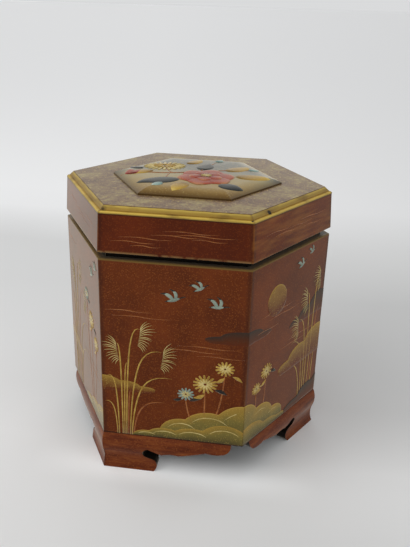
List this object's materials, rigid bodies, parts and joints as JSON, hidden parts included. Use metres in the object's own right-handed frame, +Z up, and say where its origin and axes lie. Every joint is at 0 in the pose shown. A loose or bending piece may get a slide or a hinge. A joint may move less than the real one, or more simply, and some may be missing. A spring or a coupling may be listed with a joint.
{
  "type": "hexagonal lidded box",
  "caption": "Hexagonal lacquered wooden box with a lift-off lid over a lined collar, gilt edge moulding, raised lid plaque and fretted bracket feet.",
  "frame": {"origin": "on the box's axis, on the surface that the three feet stand on", "axes": "+Z up, -Y out of the front wall, +X towards the corner over the right foot"},
  "size_m": [0.1536, 0.134, 0.154],
  "materials": {
    "sprinkled_lacquer": "glossy reddish-brown lacquer sprinkled with fine gold flakes, over wood",
    "foot_lacquer": "worn orange-brown lacquer over wood",
    "gilt": "worn gilding on wood",
    "plaque_lacquer": "glossy dark lacquer with raised coloured decoration, over wood",
    "black_lacquer": "satin black lacquer over wood"
  },
  "bodies": {
    "case": {"floor": "black_lacquer", "wall_front": "sprinkled_lacquer", "wall_front_right": "sprinkled_lacquer", "wall_back_right": "sprinkled_lacquer", "wall_back": "sprinkled_lacquer", "wall_back_left": "sprinkled_lacquer", "wall_front_left": "sprinkled_lacquer", "lining_front": "black_lacquer", "lining_front_right": "black_lacquer", "lining_back_right": "black_lacquer", "lining_back": "black_lacquer", "lining_back_left": "black_lacquer", "lining_front_left": "black_lacquer", "foot_front_arm_right": "foot_lacquer", "foot_front_arm_left": "foot_lacquer", "foot_right_arm_right": "foot_lacquer", "foot_right_arm_left": "foot_lacquer", "foot_back_arm_right": "foot_lacquer", "foot_back_arm_left": "foot_lacquer", "foot_front_block": "black_lacquer", "foot_right_block": "black_lacquer", "foot_back_block": "black_lacquer"},
    "lid": {"lid_top": "sprinkled_lacquer", "lid_plaque": "plaque_lacquer", "lid_side_front": "sprinkled_lacquer", "lid_side_front_right": "sprinkled_lacquer", "lid_side_back_right": "sprinkled_lacquer", "lid_side_back": "sprinkled_lacquer", "lid_side_back_left": "sprinkled_lacquer", "lid_side_front_left": "sprinkled_lacquer", "lid_moulding_front": "gilt", "lid_moulding_front_right": "gilt", "lid_moulding_back_right": "gilt", "lid_moulding_back": "gilt", "lid_moulding_back_left": "gilt", "lid_moulding_front_left": "gilt"}
  },
  "joints": [
    {"name": "lid_lift", "type": "slide", "parent": "case", "child": "lid", "axis": [0, 0, 1], "range_m": [0, 0.12]}
  ]
}
